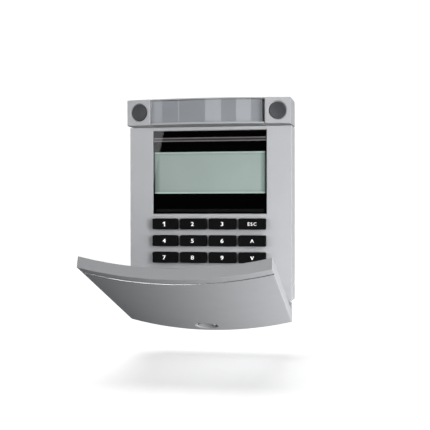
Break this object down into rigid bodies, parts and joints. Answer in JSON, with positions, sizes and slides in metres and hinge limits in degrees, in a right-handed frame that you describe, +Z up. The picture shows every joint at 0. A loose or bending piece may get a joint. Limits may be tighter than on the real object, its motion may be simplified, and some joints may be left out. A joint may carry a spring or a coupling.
{
  "type": "alarm keypad panel",
  "caption": "Wall keypad for an alarm: bowed control bar with two lensed buttons, display window, raised keys and a full-height bowed flap hinged at the bottom.",
  "frame": {"origin": "on the wall plane, at the middle of the width and of the height of housing and bar together", "axes": "+Z up, +Y into the wall, +X to the right of someone facing the panel"},
  "size_m": [0.102, 0.1277, 0.1427],
  "materials": {
    "housing_plastic": "fine satin moulded plastic, cool light grey",
    "flap_plastic": "satin moulded plastic, cool light grey",
    "clear_acrylic": "clear polished",
    "black_film": "printed gloss black",
    "display_glass": "grey-green reflective liquid crystal display, glass",
    "black_plastic": "satin black",
    "key_plastic": "satin black key caps",
    "white_plastic": "translucent white",
    "connector_plastic": "moulded connector green",
    "silicone": "matt silicone rubber, slate grey",
    "circuit_board": "green solder resist on glass fibre board",
    "copper_wire": "enamelled copper wire",
    "screw_steel": "zinc plated",
    "label_card": "plain printed card in greys",
    "smoked_lens": "smoked translucent plastic"
  },
  "bodies": {
    "panel": {"wall_base": "housing_plastic", "front_housing": "housing_plastic", "window_lens": "clear_acrylic", "display_mask": "black_film", "lcd_glass": "display_glass", "backlight_guide": "white_plastic", "lcd_holder": "black_plastic", "keypad_mat": "silicone", "main_board": "circuit_board", "reader_coil": "copper_wire", "buzzer": "black_plastic", "terminal_block": "connector_plastic", "controller_chip": "black_plastic", "bus_header": "connector_plastic", "tamper_switch": "black_plastic", "activation_switch": "black_plastic", "lock_screw": "screw_steel", "segment_base": "housing_plastic", "segment_frame": "housing_plastic", "label_card": "label_card", "label_cover": "clear_acrylic", "segment_board": "circuit_board", "board_screw_1": "screw_steel", "board_screw_2": "screw_steel", "board_screw_3": "screw_steel", "board_screw_4": "screw_steel", "hinge_pin_left": "screw_steel", "hinge_pin_right": "screw_steel", "segment_switch_left": "black_plastic", "segment_switch_right": "black_plastic", "segment_led_left": "white_plastic", "segment_led_right": "white_plastic"},
    "flap": {"flap_shell": "flap_plastic", "flap_liner": "flap_plastic"},
    "round_button": {"activation_button": "smoked_lens"},
    "left_button": {"bar_button_left": "housing_plastic", "status_lens_left": "smoked_lens"},
    "right_button": {"bar_button_right": "housing_plastic", "status_lens_right": "smoked_lens"},
    "tamper_pin": {"tamper_plunger": "white_plastic"},
    "pad": {"activation_pad": "white_plastic"},
    "key_1_cap": {"key_1": "key_plastic"},
    "key_2_cap": {"key_2": "key_plastic"},
    "key_3_cap": {"key_3": "key_plastic"},
    "key_esc_cap": {"key_esc": "key_plastic"},
    "key_4_cap": {"key_4": "key_plastic"},
    "key_5_cap": {"key_5": "key_plastic"},
    "key_6_cap": {"key_6": "key_plastic"},
    "key_up_cap": {"key_up": "key_plastic"},
    "key_7_cap": {"key_7": "key_plastic"},
    "key_8_cap": {"key_8": "key_plastic"},
    "key_9_cap": {"key_9": "key_plastic"},
    "key_down_cap": {"key_down": "key_plastic"},
    "key_star_cap": {"key_star": "key_plastic"},
    "key_0_cap": {"key_0": "key_plastic"},
    "key_hash_cap": {"key_hash": "key_plastic"},
    "key_enter_cap": {"key_enter": "key_plastic"}
  },
  "joints": [
    {"name": "flap_hinge", "type": "hinge", "parent": "panel", "child": "flap", "pos_m": [0, -0.0182, -0.06585], "axis": [1, 0, 0], "range_deg": [-70, 30]},
    {"name": "round_button_press", "type": "slide", "parent": "flap", "child": "round_button", "axis": [0, 0.342, 0.9397], "range_m": [0, 0.0006], "stiffness_N_per_m": 900},
    {"name": "left_button_press", "type": "slide", "parent": "panel", "child": "left_button", "axis": [0, 1, 0], "range_m": [0, 0.001], "stiffness_N_per_m": 900},
    {"name": "right_button_press", "type": "slide", "parent": "panel", "child": "right_button", "axis": [0, 1, 0], "range_m": [0, 0.001], "stiffness_N_per_m": 900},
    {"name": "tamper_pin_slide", "type": "slide", "parent": "panel", "child": "tamper_pin", "axis": [0, 1, 0], "range_m": [0, 0.002]},
    {"name": "pad_press", "type": "slide", "parent": "panel", "child": "pad", "axis": [0, 1, 0], "range_m": [0, 0.0006], "stiffness_N_per_m": 900},
    {"name": "key_1_press", "type": "slide", "parent": "panel", "child": "key_1_cap", "axis": [0, 1, 0], "range_m": [0, 0.001], "stiffness_N_per_m": 900},
    {"name": "key_2_press", "type": "slide", "parent": "panel", "child": "key_2_cap", "axis": [0, 1, 0], "range_m": [0, 0.001], "stiffness_N_per_m": 900},
    {"name": "key_3_press", "type": "slide", "parent": "panel", "child": "key_3_cap", "axis": [0, 1, 0], "range_m": [0, 0.001], "stiffness_N_per_m": 900},
    {"name": "key_esc_press", "type": "slide", "parent": "panel", "child": "key_esc_cap", "axis": [0, 1, 0], "range_m": [0, 0.001], "stiffness_N_per_m": 900},
    {"name": "key_4_press", "type": "slide", "parent": "panel", "child": "key_4_cap", "axis": [0, 1, 0], "range_m": [0, 0.001], "stiffness_N_per_m": 900},
    {"name": "key_5_press", "type": "slide", "parent": "panel", "child": "key_5_cap", "axis": [0, 1, 0], "range_m": [0, 0.001], "stiffness_N_per_m": 900},
    {"name": "key_6_press", "type": "slide", "parent": "panel", "child": "key_6_cap", "axis": [0, 1, 0], "range_m": [0, 0.001], "stiffness_N_per_m": 900},
    {"name": "key_up_press", "type": "slide", "parent": "panel", "child": "key_up_cap", "axis": [0, 1, 0], "range_m": [0, 0.001], "stiffness_N_per_m": 900},
    {"name": "key_7_press", "type": "slide", "parent": "panel", "child": "key_7_cap", "axis": [0, 1, 0], "range_m": [0, 0.001], "stiffness_N_per_m": 900},
    {"name": "key_8_press", "type": "slide", "parent": "panel", "child": "key_8_cap", "axis": [0, 1, 0], "range_m": [0, 0.001], "stiffness_N_per_m": 900},
    {"name": "key_9_press", "type": "slide", "parent": "panel", "child": "key_9_cap", "axis": [0, 1, 0], "range_m": [0, 0.001], "stiffness_N_per_m": 900},
    {"name": "key_down_press", "type": "slide", "parent": "panel", "child": "key_down_cap", "axis": [0, 1, 0], "range_m": [0, 0.001], "stiffness_N_per_m": 900},
    {"name": "key_star_press", "type": "slide", "parent": "panel", "child": "key_star_cap", "axis": [0, 1, 0], "range_m": [0, 0.001], "stiffness_N_per_m": 900},
    {"name": "key_0_press", "type": "slide", "parent": "panel", "child": "key_0_cap", "axis": [0, 1, 0], "range_m": [0, 0.001], "stiffness_N_per_m": 900},
    {"name": "key_hash_press", "type": "slide", "parent": "panel", "child": "key_hash_cap", "axis": [0, 1, 0], "range_m": [0, 0.001], "stiffness_N_per_m": 900},
    {"name": "key_enter_press", "type": "slide", "parent": "panel", "child": "key_enter_cap", "axis": [0, 1, 0], "range_m": [0, 0.001], "stiffness_N_per_m": 900}
  ]
}
